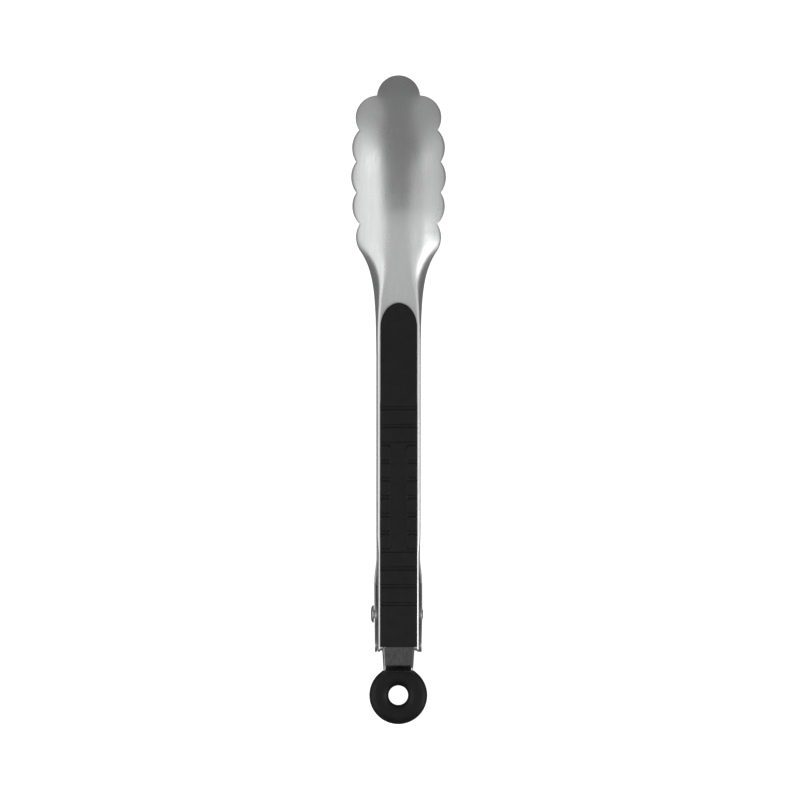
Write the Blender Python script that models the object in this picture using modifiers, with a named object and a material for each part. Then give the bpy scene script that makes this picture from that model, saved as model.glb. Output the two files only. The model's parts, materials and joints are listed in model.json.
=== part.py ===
"""Spring loaded kitchen tongs, closed and locked, lying on the back of the lower grip.

Blender 4.5, metres, +Z up.  X is the width, +Y runs from the pull ring to the head tips, and
the tongs rest on z = 0.  Both arms are drawn in the same local frame: its origin is on the
pivot's axis, +Y runs along the arm and +Z points out of the arm's back.
"""
import math

import bmesh
import bpy
from mathutils import Vector

MM = 0.001
GAP = 0.3 * MM                        # kept between pieces that touch on the real object
FAR = 20.0 * MM                       # a cutter runs at least this far past what it cuts

# Frame: the pivot's axis runs along X
PIVOT_Y = -100.65 * MM
PIVOT_Z = 12.5 * MM                   # half the height over both grips
WEDGE = math.radians(3.0)             # angle between the two arms when they are locked shut

# Arms: one pressed sheet each, a U-section that opens into a scalloped bowl
SHEET = 0.9 * MM
WEB_TOP = 9.6 * MM                    # outer face of the web above the pivot's axis
ARM_HALF = 10.3 * MM
FLANGE_EDGE = 0.8 * MM
BEND = 2.0 * MM
CROWN_LINE = [(140, 9.6), (160, 10.3), (178, 11.8), (192, 12.2),
              (210, 11.0), (228, 7.0), (242, 1.7), (253.15, -5.1)]     # mm along, mm up
PINCH_START = 132.0 * MM              # where the web begins to narrow ahead of the bowl
NECK_PINCH = 1.1 * MM
NECK_START = 146.0 * MM               # where the bend begins to open
BOWL_START = 155.0 * MM               # where the flange begins to fade into the bowl
BOWL_END = 180.0 * MM
NECK_END = 171.05 * MM                # where the outline turns from neck to scallops
NECK_HALF = 18.1 * MM
NECK_RATE = 11.0 * MM                 # the neck flares by exp(distance / rate)
BOWL_HALF = 23.0 * MM
BOWL_RATE = 7.0 * MM
BOWL_CORNER = 12.0 * MM
BOWL_SLOPE = 1.0                      # fall over run, from the corner to the rim
BOWL_SPREAD = 0.94                    # share of the section that is one curve in the bowl
CUSPS = [(171.05, 18.1), (183.55, 18.1), (198.25, 19.7), (212.75, 19.8), (227.55, 18.4),
         (243.75, 10.1)]              # mm along and half width, between neighbouring scallops
BULGES = [1.8, 2.7, 2.45, 2.6, 5.3]   # mm, height of each scallop's arc over its chord
TIP_RADIUS = 10.13 * MM
TIP_END = 253.15 * MM
ARC_STEPS = 4

# Ears at the pivot; the lower arm's ears go outside the upper arm's
EAR_RADIUS = 6.8 * MM
EAR_FOOT = 13.5 * MM                  # where the ear runs back into the flange's edge
TAIL_ROUND = 3.0 * MM
TAIL_CORNER = 0.8 * MM
WEB_END = -14.0 * MM
NOTCH_HALF = 7.4 * MM
EARS = {                              # half width at the tail and pivot, then the joggle's two ends
    "lower": {"tail": 18.0 * MM, "tail_half": 11.0 * MM, "half": 11.3 * MM,
              "joggle": (15.0 * MM, 27.0 * MM)},
    "upper": {"tail": 17.2 * MM, "tail_half": 9.8 * MM, "half": 9.8 * MM,
              "joggle": (28.0 * MM, 38.0 * MM)},
}
PIN_HOLE = 2.2 * MM

# Grips: a hard core pegged through the web and a soft skin over it
GRIP_HALF = 8.75 * MM
GRIP_FRONT = 146.75 * MM
GRIP_REAR = -14.65 * MM
GRIP_DOME = 11.3 * MM
GRIP_CHAMFER = 1.0 * MM
GRIP_BACK = 12.5 * MM
GRIP_EDGE = 0.9 * MM
CORE_INSET = 1.5 * MM
CORE_TOP = 10.7 * MM
PEGS = [35.0 * MM, 70.0 * MM, 105.0 * MM, 133.0 * MM]
PEG_RADIUS = 2.2 * MM
PEG_HEAD_RADIUS = 3.6 * MM
PEG_HEAD = (7.4 * MM, 8.4 * MM)
GROOVE_COUNT = 12
GROOVE_FIRST = 97.6 * MM
GROOVE_PITCH = 8.36 * MM
GROOVE_WIDTH = 1.7 * MM
GROOVE_DEPTH = 0.45 * MM
PANEL_HALF = 4.25 * MM                # smooth panel along the middle of the grip
PANEL_GROOVES = range(2, 9)

# Rivet, sleeve, washers and spring
SHAFT_RADIUS = 1.9 * MM
RIVET_SEAT = 11.5 * MM
RIVET_HEAD_RADIUS = 4.15 * MM
RIVET_HEAD_HEIGHT = 1.4 * MM
RIVET_TAIL_RADIUS = 3.0 * MM
RIVET_TAIL_HEIGHT = 0.15 * MM
SLEEVE_RADIUS = 3.0 * MM
SLEEVE_HALF = 8.6 * MM
WASHER_RADIUS = 6.0 * MM
WASHER = 0.62 * MM
WIRE_RADIUS = 0.8 * MM
COIL_RADIUS = 4.2 * MM
COIL_PITCH = 1.7 * MM
COIL_FULL_TURNS = 4
COIL_STEPS = 16                       # points in each turn
LEG_RISE = math.radians(9.3)
LEG_REACH = 24.0 * MM

# Lock tab and pull ring, drawn along the line half way between the arms
TAB_SHEET = 0.8 * MM
TAB_HALF = 7.65 * MM
TAB_BEND = 3.2 * MM                   # the bend's width, wider than it is deep
TAB_BEND_SHARE = 0.8                  # most of the cheek's height that the bend may take
TAB_SIDE_LINE = [(-26.4, 7.0), (-15.8, 7.65)]                               # mm
TAB_FRONT = 6.35 * MM
TAB_REAR = -26.4 * MM
TAB_TOP_LINE = [(-26.4, 0.35), (-15.8, 4.3), (-9.0, 6.9), (7.0, 6.9)]       # mm
TAB_LOW_LINE = [(-26.4, -1.4), (-15.8, -4.3), (-7.0, -6.6), (4.0, -6.6), (7.0, -4.6)]
TAB_FORK_TOP = 4.8 * MM
TAB_FORK_REAR = -13.0 * MM
TAB_WEB_START = -14.9 * MM
SLOT_HALF = 3.35 * MM
LOCK_TRAVEL = 9.0 * MM
TONGUE_HALF = 5.5 * MM
TONGUE_REAR = -32.0 * MM
TONGUE = 0.35 * MM                    # half thickness
RING_Y = -38.25 * MM
RING_RADIUS = 13.65 * MM
RING_HOLE = 4.6 * MM
RING_HALF = 4.3 * MM                  # half thickness
RING_POWER = 2.6                      # 2 is an ellipse, more is squarer
RING_FLAT = -26.85 * MM
SHOULDER_HALF = 7.6 * MM
SHOULDER_DEEP = 0.9 * RING_HALF
SHOULDER_ROUND = 1.2 * MM

MATERIALS = {                         # colour, metallic, roughness
    "brushed_steel": ((0.62, 0.63, 0.64), 1.0, 0.32),
    "spring_steel": ((0.45, 0.46, 0.47), 1.0, 0.28),
    "core_nylon": ((0.020, 0.020, 0.021), 0.0, 0.50),
    "grip_rubber": ((0.022, 0.022, 0.023), 0.0, 0.62),
    "washer_nylon": ((0.70, 0.69, 0.65), 0.0, 0.45),
    "ring_nylon": ((0.016, 0.016, 0.016), 0.0, 0.55),
}


def clear_scene():
    for obj in list(bpy.data.objects):
        bpy.data.objects.remove(obj, do_unlink=True)


def new_collection(name):
    group = bpy.data.collections.new(name)
    bpy.context.scene.collection.children.link(group)
    return group


def material(name):
    found = bpy.data.materials.get(name)
    if found:
        return found
    colour, metallic, roughness = MATERIALS[name]
    made = bpy.data.materials.new(name)
    made.use_nodes = True
    shader = made.node_tree.nodes["Principled BSDF"]
    shader.inputs["Base Color"].default_value = (*colour, 1.0)
    shader.inputs["Metallic"].default_value = metallic
    shader.inputs["Roughness"].default_value = roughness
    return made


def empty(name, tilt=(0.0, 0.0, 0.0)):
    """A frame on the pivot's axis."""
    frame = bpy.data.objects.new(name, None)
    frame.location = (0.0, PIVOT_Y, PIVOT_Z)
    frame.rotation_euler = tilt
    frame.empty_display_size = 0.01
    PARTS.objects.link(frame)
    return frame


def place(name, data, frame, finish=None):
    """Put a mesh or curve in a frame, as a part or, with no finish, as a cutter."""
    obj = bpy.data.objects.new(name, data)
    obj.parent = frame
    if finish:
        PARTS.objects.link(obj)
        data.materials.append(material(finish))
    else:
        CUTTERS.objects.link(obj)
        obj.hide_render = True
        obj.display_type = 'WIRE'
    return obj


def mesh_from(name, bm):
    mesh = bpy.data.meshes.new(name)
    bmesh.ops.recalc_face_normals(bm, faces=bm.faces)
    bm.to_mesh(mesh)
    bm.free()
    mesh.shade_smooth()
    mesh.set_sharp_from_angle(angle=math.radians(35))
    return mesh


def boolean(obj, tool, operation='DIFFERENCE'):
    step = obj.modifiers.new(tool.name, 'BOOLEAN')
    step.operation = operation
    step.solver = 'EXACT'
    step.object = tool


def box_mesh(name, boxes, bevel=0.0):
    """Boxes given as (x0, x1, y0, y1, z0, z1)."""
    bm = bmesh.new()
    for x0, x1, y0, y1, z0, z1 in boxes:
        made = bmesh.ops.create_cube(bm, size=1.0)["verts"]
        size = Vector((x1 - x0, y1 - y0, z1 - z0))
        middle = Vector((x1 + x0, y1 + y0, z1 + z0)) / 2
        for vert in made:
            vert.co = Vector(a * b for a, b in zip(vert.co, size)) + middle
    if bevel:
        bmesh.ops.bevel(bm, geom=bm.edges[:], offset=bevel, segments=2, affect='EDGES')
    return mesh_from(name, bm)


def cylinder_mesh(name, radius, half_length, segments=24):
    bm = bmesh.new()
    bmesh.ops.create_cone(bm, cap_ends=True, segments=segments, radius1=radius,
                          radius2=radius, depth=2 * half_length)
    return mesh_from(name, bm)


def turned(name, profile, frame, finish=None, steps=28, closed=False):
    """A profile of (radius, height) points, top to bottom down its outer side, turned about Z."""
    mesh = bpy.data.meshes.new(name)
    count = len(profile)
    edges = [(i, i + 1) for i in range(count - 1)]
    if closed:
        edges.append((count - 1, 0))
    mesh.from_pydata([(radius, 0.0, height) for radius, height in profile], edges, [])
    obj = place(name, mesh, frame, finish)
    screw = obj.modifiers.new("turn", 'SCREW')
    screw.steps = steps
    screw.render_steps = steps
    screw.use_merge_vertices = True
    screw.merge_threshold = 0.00001
    screw.use_smooth_shade = True
    return obj


def smooth_step(start, end, value):
    t = min(max((value - start) / (end - start), 0.0), 1.0)
    return t * t * (3.0 - 2.0 * t)


def blend(a, b, t):
    return a + (b - a) * t


def smooth_line(points, at):
    """A smooth curve through (place, height) points in mm, held level beyond its ends."""
    places = [p * MM for p, _ in points]
    heights = [h * MM for _, h in points]
    if at <= places[0]:
        return heights[0]
    if at >= places[-1]:
        return heights[-1]
    i = max(k for k in range(len(places) - 1) if places[k] <= at)

    def slope(k):
        a, b = max(k - 1, 0), min(k + 1, len(places) - 1)
        return 0.0 if k == 0 else (heights[b] - heights[a]) / (places[b] - places[a])

    span = places[i + 1] - places[i]
    t = (at - places[i]) / span
    return ((2 * t**3 - 3 * t**2 + 1) * heights[i] + (t**3 - 2 * t**2 + t) * span * slope(i)
            + (3 * t**2 - 2 * t**3) * heights[i + 1] + (t**3 - t**2) * span * slope(i + 1))


def straight_line(points, at):
    """Straight runs through (place, height) points in mm."""
    places = [p * MM for p, _ in points]
    heights = [h * MM for _, h in points]
    at = min(max(at, places[0]), places[-1])
    i = max(k for k in range(len(places) - 1) if places[k] <= at)
    return blend(heights[i], heights[i + 1], (at - places[i]) / (places[i + 1] - places[i]))


# ---- arms ----

def arc_between(start, end, bulge, steps):
    """Points of a circular arc that stands out of its chord by bulge, away from the middle."""
    start, end = Vector(start), Vector(end)
    half = (end - start).length / 2
    radius = (half * half + bulge * bulge) / (2 * bulge)
    along = (end - start).normalized()
    out = Vector((-along.y, along.x))
    centre = (start + end) / 2 + out * (bulge - radius)
    sweep = 2 * math.asin(half / radius)
    points = []
    for i in range(steps + 1):
        angle = sweep * (i / steps - 0.5)
        points.append(centre + radius * (along * math.sin(angle) + out * math.cos(angle)))
    return points


def head_outline():
    """Places along the arm with the half width there, over the scallops to the round tip."""
    cusps = [Vector((along, half)) * MM for along, half in CUSPS]
    outline = []
    for start, end, bulge in zip(cusps, cusps[1:], BULGES):
        outline += arc_between(start, end, bulge * MM, ARC_STEPS)[1:]
    middle = TIP_END - TIP_RADIUS
    first = math.asin((cusps[-1].x - middle) / TIP_RADIUS)
    for i in range(1, ARC_STEPS + 2):
        angle = blend(first, math.pi / 2, i / (ARC_STEPS + 1))
        outline.append(Vector((middle + TIP_RADIUS * math.sin(angle),
                               TIP_RADIUS * max(math.cos(angle), 0.0))))
    return [(point.x, point.y) for point in outline]


def web_half_width(y, ears):
    """Where the web turns down into the flange: ears, joggle and straight arm."""
    start, end = ears["joggle"]
    ear = blend(ears["tail_half"], ears["half"], smooth_step(-ears["tail"], start, y))
    return blend(ear, ARM_HALF, smooth_step(start, end, y))


def arm_half_width(y, ears):
    """Half width of the arm behind the scallops, over the flange as it leans out at the neck."""
    return web_half_width(y, ears) + (NECK_HALF - ARM_HALF) * math.exp((y - NECK_END) / NECK_RATE)


def bowl_half_width(y):
    """Half width of the surface that the scallops are cut from."""
    return BOWL_HALF - (BOWL_HALF - NECK_HALF) * math.exp((NECK_END - y) / BOWL_RATE)


def ear_edge(y, ears):
    """Height of the flange's free edge: a round ear below the pivot and a rounded tail."""
    if y > EAR_FOOT:
        return FLANGE_EDGE
    reach = math.hypot(EAR_FOOT, FLANGE_EDGE)
    touch = math.acos(EAR_RADIUS / reach) - math.atan2(FLANGE_EDGE, EAR_FOOT)
    touch_y, touch_z = EAR_RADIUS * math.cos(touch), -EAR_RADIUS * math.sin(touch)
    if abs(y) <= touch_y:
        return -math.sqrt(EAR_RADIUS**2 - y * y)
    if abs(y) <= EAR_FOOT:
        return blend(touch_z, FLANGE_EDGE, (abs(y) - touch_y) / (EAR_FOOT - touch_y))
    into = max(-y - (ears["tail"] - TAIL_ROUND), 0.0)
    return FLANGE_EDGE + TAIL_ROUND - math.sqrt(max(TAIL_ROUND**2 - into * into, 0.0))


def section_corner(y, half, ears):
    """The section's corner, before it is rounded, and its free edge."""
    crown = smooth_line(CROWN_LINE, y)
    bowl = smooth_step(BOWL_START, BOWL_END, y)
    edge_x = half if y <= NECK_END else bowl_half_width(y)
    pinched = web_half_width(y, ears) - NECK_PINCH * smooth_step(PINCH_START, BOWL_START, y)
    corner = Vector((blend(pinched, BOWL_CORNER, bowl), crown))
    drop = BOWL_SLOPE * (edge_x - BOWL_CORNER)
    return corner, Vector((edge_x, blend(ear_edge(y, ears), crown - drop, bowl)))


def section_point(y, half, ears, share):
    """Point at a share of the way from the crown to the edge of the section at y."""
    corner, edge = section_corner(y, half, ears)
    crown = corner.y
    spread = BOWL_SPREAD * smooth_step(NECK_START, NECK_END + BOWL_RATE, y)
    down = (edge - corner).length
    back = blend(BEND, corner.x, spread)
    ahead = blend(BEND, down, spread)
    run = share * (corner.x + down)
    if run < corner.x - back:
        return Vector((run, crown))
    if run > corner.x + ahead:
        return corner.lerp(edge, (run - corner.x) / down)
    t = (run - corner.x + back) / (back + ahead)
    start = Vector((corner.x - back, crown))
    end = corner.lerp(edge, ahead / down)
    return (1 - t)**2 * start + 2 * t * (1 - t) * corner + t**2 * end


def section_shares(y, half, ears):
    """Where the section's points lie: closer round the bend, and cut off at the half width."""
    last = 1.0
    if y > NECK_END:
        low, high = 0.0, 1.0
        for _ in range(40):
            last = (low + high) / 2
            if section_point(y, half, ears, last).x < half:
                low = last
            else:
                high = last
    spread = smooth_step(NECK_START, NECK_END, y)
    corner, edge = section_corner(y, half, ears)
    run = corner.x + (edge - corner).length
    bend_from = (corner.x - BEND) / run
    bend_to = (corner.x + BEND) / run
    tight = [0.0] + [blend(bend_from, bend_to, k / 4) for k in range(5)] + [1.0]
    steps = len(tight) - 1
    return [last * blend(share, i / steps, spread) for i, share in enumerate(tight)]


def arm_stations(ears):
    """Places along the arm with its half width there."""
    tail = ears["tail"]
    places = [-tail + TAIL_ROUND * (1 - math.cos(math.radians(a))) for a in (0, 30, 60, 90)]
    places += [-EAR_FOOT] + [k * MM for k in (-8.0, -3.8, -2.0, 0.0, 2.0, 3.8, 8.0)] + [EAR_FOOT]
    start, end = ears["joggle"]
    places += [blend(start, end, k / 3) for k in range(4)]
    places += [k * MM for k in (60, 90, 115, 135, 142, 148)]
    places += [blend(BOWL_START, NECK_END, k / 6) for k in range(7)]
    return [(y, arm_half_width(y, ears)) for y in places] + head_outline()


def make_arm(side, frame):
    ears = EARS[side]
    bm = bmesh.new()
    rows = []
    for y, half in arm_stations(ears):
        right = [section_point(y, half, ears, s) for s in section_shares(y, half, ears)]
        across = [(-p.x, y, p.y) for p in reversed(right[1:])] + [(p.x, y, p.y) for p in right]
        rows.append([bm.verts.new(point) for point in across])
    for row, following in zip(rows, rows[1:]):
        for i in range(len(row) - 1):
            bm.faces.new((row[i], row[i + 1], following[i + 1], following[i]))
    bmesh.ops.remove_doubles(bm, verts=bm.verts, dist=0.000001)
    mesh = bpy.data.meshes.new(side + "_arm")
    bm.to_mesh(mesh)
    bm.free()
    mesh.shade_smooth()
    arm = place(side + "_arm", mesh, frame, "brushed_steel")
    shell = arm.modifiers.new("sheet", 'SOLIDIFY')
    shell.thickness = SHEET
    shell.offset = -1.0
    shell.use_even_offset = True

    pin = place(side + "_pin_hole", cylinder_mesh(side + "_pin_hole", PIN_HOLE, FAR), frame)
    pin.rotation_euler = (0.0, math.pi / 2, 0.0)
    boolean(arm, pin)
    for number, y in enumerate(PEGS, 1):
        name = f"{side}_peg_hole_{number}"
        hole = place(name, cylinder_mesh(name, PEG_RADIUS + GAP, 2 * MM), frame)
        hole.location = (0.0, y, WEB_TOP - SHEET / 2)
        boolean(arm, hole)
    name = side + "_tail_notch"
    notch = place(name, box_mesh(name, [(-NOTCH_HALF, NOTCH_HALF, WEB_END - FAR, WEB_END,
                                         WEB_TOP - 3 * MM, WEB_TOP + 3 * MM)]), frame)
    boolean(arm, notch)
    name = side + "_tail_corner"
    corner = place(name, box_mesh(name, [(-FAR, FAR, -FAR, 0.0, -FAR, FAR)]), frame)
    corner.location = (0.0, -ears["tail"] + TAIL_CORNER, WEB_TOP - TAIL_CORNER)
    corner.rotation_euler = (-math.pi / 4, 0.0, 0.0)
    boolean(arm, corner)


# ---- grips ----

def grip_outline(inset):
    """Outline of a grip, drawn in by inset: cut corners behind, half an ellipse in front."""
    half = GRIP_HALF - inset
    rear = GRIP_REAR + inset
    dome = GRIP_DOME - inset / 2
    straight = GRIP_FRONT - inset - dome
    outline = [(half - GRIP_CHAMFER, rear), (half, rear + GRIP_CHAMFER)]
    for i in range(15):
        angle = math.pi * i / 14
        outline.append((half * math.cos(angle), straight + dome * math.sin(angle)))
    outline += [(-half, rear + GRIP_CHAMFER), (-half + GRIP_CHAMFER, rear)]
    return outline


def plate_mesh(name, outline, low, high, edge=0.0):
    """A flat plate of an outline, with its upper rim rounded by edge."""
    bm = bmesh.new()
    face = bm.faces.new([bm.verts.new((x, y, low)) for x, y in outline])
    grown = bmesh.ops.extrude_face_region(bm, geom=[face])["geom"]
    top = [item for item in grown if isinstance(item, bmesh.types.BMVert)]
    bmesh.ops.translate(bm, verts=top, vec=(0.0, 0.0, high - low))
    if edge:
        rim = [e for e in bm.edges if all(v.co.z > high - MM / 10 for v in e.verts)]
        bmesh.ops.bevel(bm, geom=rim, offset=edge, segments=3, profile=0.5, affect='EDGES')
    return mesh_from(name, bm)


def groove_boxes():
    low, high = GRIP_BACK - GROOVE_DEPTH, GRIP_BACK + MM
    boxes = []
    for number in range(GROOVE_COUNT):
        middle = GROOVE_FIRST - GROOVE_PITCH * number
        rear, front = middle - GROOVE_WIDTH / 2, middle + GROOVE_WIDTH / 2
        if number in PANEL_GROOVES:
            boxes.append((PANEL_HALF, FAR, rear, front, low, high))
            boxes.append((-FAR, -PANEL_HALF, rear, front, low, high))
        else:
            boxes.append((-FAR, FAR, rear, front, low, high))
    return boxes


def make_grip(side, frame):
    core_low = WEB_TOP + GAP
    name = side + "_grip_core"
    core = place(name, plate_mesh(name, grip_outline(CORE_INSET), core_low, CORE_TOP), frame,
                 "core_nylon")
    for number, y in enumerate(PEGS, 1):
        low, high = PEG_HEAD
        profile = [(0.0, CORE_TOP - MM / 5), (PEG_RADIUS, CORE_TOP - MM / 5), (PEG_RADIUS, high),
                   (PEG_HEAD_RADIUS, high), (PEG_HEAD_RADIUS, (low + high) / 2),
                   (PEG_HEAD_RADIUS - MM / 2, low), (0.0, low)]
        peg = turned(f"{side}_peg_{number}", profile, frame, steps=16)
        peg.location.y = y
        boolean(core, peg, 'UNION')

    name = side + "_grip_skin"
    skin = place(name, plate_mesh(name, grip_outline(0.0), core_low, GRIP_BACK, GRIP_EDGE),
                 frame, "grip_rubber")
    pocket = place(name + "_pocket", plate_mesh(name + "_pocket", grip_outline(CORE_INSET - GAP),
                                                core_low - MM, CORE_TOP + GAP), frame)
    boolean(skin, pocket)
    grooves = place(name + "_grooves", box_mesh(name + "_grooves", groove_boxes()), frame)
    boolean(skin, grooves)


# ---- pivot ----

def make_rivet(frame):
    """Turned about X: flat tail on the +X side, domed head on the -X side."""
    tail = RIVET_SEAT + RIVET_TAIL_HEIGHT
    head = RIVET_SEAT + RIVET_HEAD_HEIGHT
    profile = [(0.0, tail), (RIVET_TAIL_RADIUS - RIVET_TAIL_HEIGHT, tail),
               (RIVET_TAIL_RADIUS, RIVET_SEAT), (SHAFT_RADIUS, RIVET_SEAT),
               (SHAFT_RADIUS, -RIVET_SEAT), (RIVET_HEAD_RADIUS, -RIVET_SEAT)]
    rim = RIVET_HEAD_HEIGHT / 4
    for i in range(6):
        angle = math.pi / 2 * i / 5
        profile.append((RIVET_HEAD_RADIUS * math.cos(angle) if i < 5 else 0.0,
                        -RIVET_SEAT - rim - (head - RIVET_SEAT - rim) * math.sin(angle)))
    rivet = turned("pivot_rivet", profile, frame, "brushed_steel")
    rivet.rotation_euler = (0.0, math.pi / 2, 0.0)


def ring_profile(inner, outer, low, high):
    return [(outer, high), (outer, low), (inner, low), (inner, high)]


def make_sleeve_and_washers(frame):
    sleeve = turned("pivot_sleeve", ring_profile(SHAFT_RADIUS + GAP, SLEEVE_RADIUS, -SLEEVE_HALF,
                                                 SLEEVE_HALF), frame, "brushed_steel",
                    closed=True)
    sleeve.rotation_euler = (0.0, math.pi / 2, 0.0)
    for name, sign in (("tab_washer_left", -1), ("tab_washer_right", 1)):
        washer = turned(name, ring_profile(SLEEVE_RADIUS + GAP, WASHER_RADIUS, -WASHER / 2,
                                           WASHER / 2), frame, "washer_nylon", closed=True)
        washer.rotation_euler = (0.0, math.pi / 2, 0.0)
        washer.location.x = sign * (SLEEVE_HALF - WASHER / 2)


def spring_path():
    """The wire from the end of the upper leg, round the coil, to the end of the lower leg."""
    sweep = math.pi - 2 * LEG_RISE + COIL_FULL_TURNS * 2 * math.pi
    half_width = COIL_PITCH * sweep / (4 * math.pi)
    steps = round(COIL_STEPS * sweep / (2 * math.pi))
    coil = []
    for i in range(steps + 1):
        angle = math.pi / 2 + LEG_RISE + sweep * i / steps
        x = blend(-half_width, half_width, i / steps)
        coil.append(Vector((x, COIL_RADIUS * math.cos(angle), COIL_RADIUS * math.sin(angle))))
    reach = LEG_REACH / math.cos(LEG_RISE) - coil[0].y
    upper = Vector((0.0, math.cos(LEG_RISE), math.sin(LEG_RISE))) * reach
    lower = Vector((0.0, upper.y, -upper.z))
    return ([coil[0] + upper, coil[0] + upper / 2] + coil + [coil[-1] + lower / 2,
                                                              coil[-1] + lower])


def make_spring(frame):
    wire = bpy.data.curves.new("torsion_spring", 'CURVE')
    wire.dimensions = '3D'
    wire.bevel_depth = WIRE_RADIUS
    wire.bevel_resolution = 2
    wire.use_fill_caps = True
    path = spring_path()
    line = wire.splines.new('POLY')
    line.points.add(len(path) - 1)
    for point, place_of in zip(line.points, path):
        point.co = (*place_of, 1.0)
    place("torsion_spring", wire, frame, "spring_steel")


# ---- lock ----

def make_tab(frame):
    """A bent fork: two slotted cheeks round the sleeve, joined by a web that slopes to the ring."""
    places = [k * MM for k in (-26.4, -24.0, -21.0, -18.0, -15.8, -13.5, -11.0, -9.0, -7.0,
                               0.0, 4.0)] + [TAB_FRONT]
    bm = bmesh.new()
    rows = []
    for y in places:
        top = straight_line(TAB_TOP_LINE, y)
        low = straight_line(TAB_LOW_LINE, y)
        side = straight_line(TAB_SIDE_LINE, y)
        bend = min(BEND, (top - low) * TAB_BEND_SHARE)
        right = [(0.0, top), (side - TAB_BEND, top)]
        for k in range(1, 6):
            t = k / 5
            right.append((side - TAB_BEND * (1 - t)**2, top - bend * t**2))
        right += [(side, low)]
        across = [(-x, y, z) for x, z in reversed(right[1:])] + [(x, y, z) for x, z in right]
        rows.append([bm.verts.new(point) for point in across])
    for row, following in zip(rows, rows[1:]):
        for i in range(len(row) - 1):
            bm.faces.new((row[i], row[i + 1], following[i + 1], following[i]))
    mesh = bpy.data.meshes.new("lock_tab")
    bm.to_mesh(mesh)
    bm.free()
    tab = place("lock_tab", mesh, frame, "brushed_steel")
    shell = tab.modifiers.new("sheet", 'SOLIDIFY')
    shell.thickness = TAB_SHEET
    shell.offset = -1.0
    shell.use_even_offset = True

    window = [(-TAB_HALF + BEND / 2, TAB_HALF - BEND / 2, TAB_WEB_START, FAR, 0.0, FAR)]
    boolean(tab, place("tab_window", box_mesh("tab_window", window), frame))
    above = [(-FAR, FAR, TAB_FORK_REAR, FAR, TAB_FORK_TOP, FAR)]
    boolean(tab, place("tab_above", box_mesh("tab_above", above), frame))

    rear = -(LOCK_TRAVEL + SLOT_HALF)
    outline = []
    for i in range(13):
        angle = -math.pi / 2 + math.pi * i / 12
        outline.append((SLOT_HALF * math.sin(angle), SLOT_HALF * math.cos(angle)))
    outline += [(x, rear + SLOT_HALF - y) for x, y in reversed(outline)]
    slot = place("tab_slot", plate_mesh("tab_slot", outline, -FAR, FAR), frame)
    slot.rotation_euler = (0.0, math.pi / 2, 0.0)
    boolean(tab, slot)

    tongue = [(-TONGUE_HALF, TONGUE_HALF, TONGUE_REAR, TAB_REAR + MM, -TONGUE, TONGUE)]
    boolean(tab, place("tab_tongue", box_mesh("tab_tongue", tongue), frame), 'UNION')


def make_ring(frame):
    """A thick moulded ring with a flat front, closed round the tab's tongue."""
    middle, half = (RING_RADIUS + RING_HOLE) / 2, (RING_RADIUS - RING_HOLE) / 2
    profile = []
    for i in range(16):
        angle = -2 * math.pi * i / 16
        c, s = math.cos(angle), math.sin(angle)
        profile.append((middle + half * math.copysign(abs(c)**(2 / RING_POWER), c),
                        RING_HALF * math.copysign(abs(s)**(2 / RING_POWER), s)))
    ring = turned("pull_ring", profile, frame, "ring_nylon", closed=True)
    ring.location.y = RING_Y

    shoulder = [(-SHOULDER_HALF, SHOULDER_HALF, RING_FLAT - 5 * MM, RING_FLAT + 2 * MM,
                 -SHOULDER_DEEP, SHOULDER_DEEP)]
    tool = place("ring_shoulder", box_mesh("ring_shoulder", shoulder, SHOULDER_ROUND), frame)
    boolean(ring, tool, 'UNION')
    front = [(-FAR, FAR, RING_FLAT, FAR, -FAR, FAR)]
    boolean(ring, place("ring_front", box_mesh("ring_front", front), frame))
    pocket = [(-TONGUE_HALF - GAP, TONGUE_HALF + GAP, TONGUE_REAR - GAP, FAR,
               -TONGUE - GAP, TONGUE + GAP)]
    boolean(ring, place("ring_pocket", box_mesh("ring_pocket", pocket), frame))


clear_scene()
PARTS = new_collection("kitchen_tongs")
CUTTERS = new_collection("cutters")
CUTTERS.hide_render = True

LOWER = empty("lower_arm_frame", (0.0, math.pi, 0.0))
UPPER = empty("upper_arm_frame", (WEDGE, 0.0, 0.0))
MIDDLE = empty("middle_frame", (WEDGE / 2, 0.0, 0.0))

for arm_side, arm_frame in (("lower", LOWER), ("upper", UPPER)):
    make_arm(arm_side, arm_frame)
    make_grip(arm_side, arm_frame)
make_rivet(MIDDLE)
make_sleeve_and_washers(MIDDLE)
make_spring(MIDDLE)
make_tab(MIDDLE)
make_ring(MIDDLE)
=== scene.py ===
"""Looks for the spring loaded kitchen tongs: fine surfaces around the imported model.

Metres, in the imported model's frame.  Each arm is drawn in its own frame, whose origin is on the
pivot's axis, +Y runs along the arm and +Z points out of its back.
"""

import json
import math

import bmesh
import bpy
from mathutils import Matrix, Vector


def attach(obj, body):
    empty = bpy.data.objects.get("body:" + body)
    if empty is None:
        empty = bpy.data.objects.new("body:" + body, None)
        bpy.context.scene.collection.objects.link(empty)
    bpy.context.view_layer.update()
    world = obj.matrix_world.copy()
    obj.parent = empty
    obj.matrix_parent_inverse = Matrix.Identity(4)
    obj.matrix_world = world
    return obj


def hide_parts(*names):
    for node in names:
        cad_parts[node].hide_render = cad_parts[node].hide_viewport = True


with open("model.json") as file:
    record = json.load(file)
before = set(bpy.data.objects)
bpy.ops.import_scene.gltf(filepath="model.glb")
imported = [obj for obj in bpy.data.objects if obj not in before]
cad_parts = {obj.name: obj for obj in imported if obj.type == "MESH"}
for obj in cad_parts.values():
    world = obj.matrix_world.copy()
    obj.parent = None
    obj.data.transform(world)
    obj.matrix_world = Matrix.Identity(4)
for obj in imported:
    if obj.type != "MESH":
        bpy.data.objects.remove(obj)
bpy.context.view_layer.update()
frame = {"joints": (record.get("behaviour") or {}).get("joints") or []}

MM = 0.001
GAP = 0.3 * MM                        # kept between pieces that touch on the real object
FAR = 20.0 * MM                       # a cutter runs at least this far past what it cuts
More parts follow.
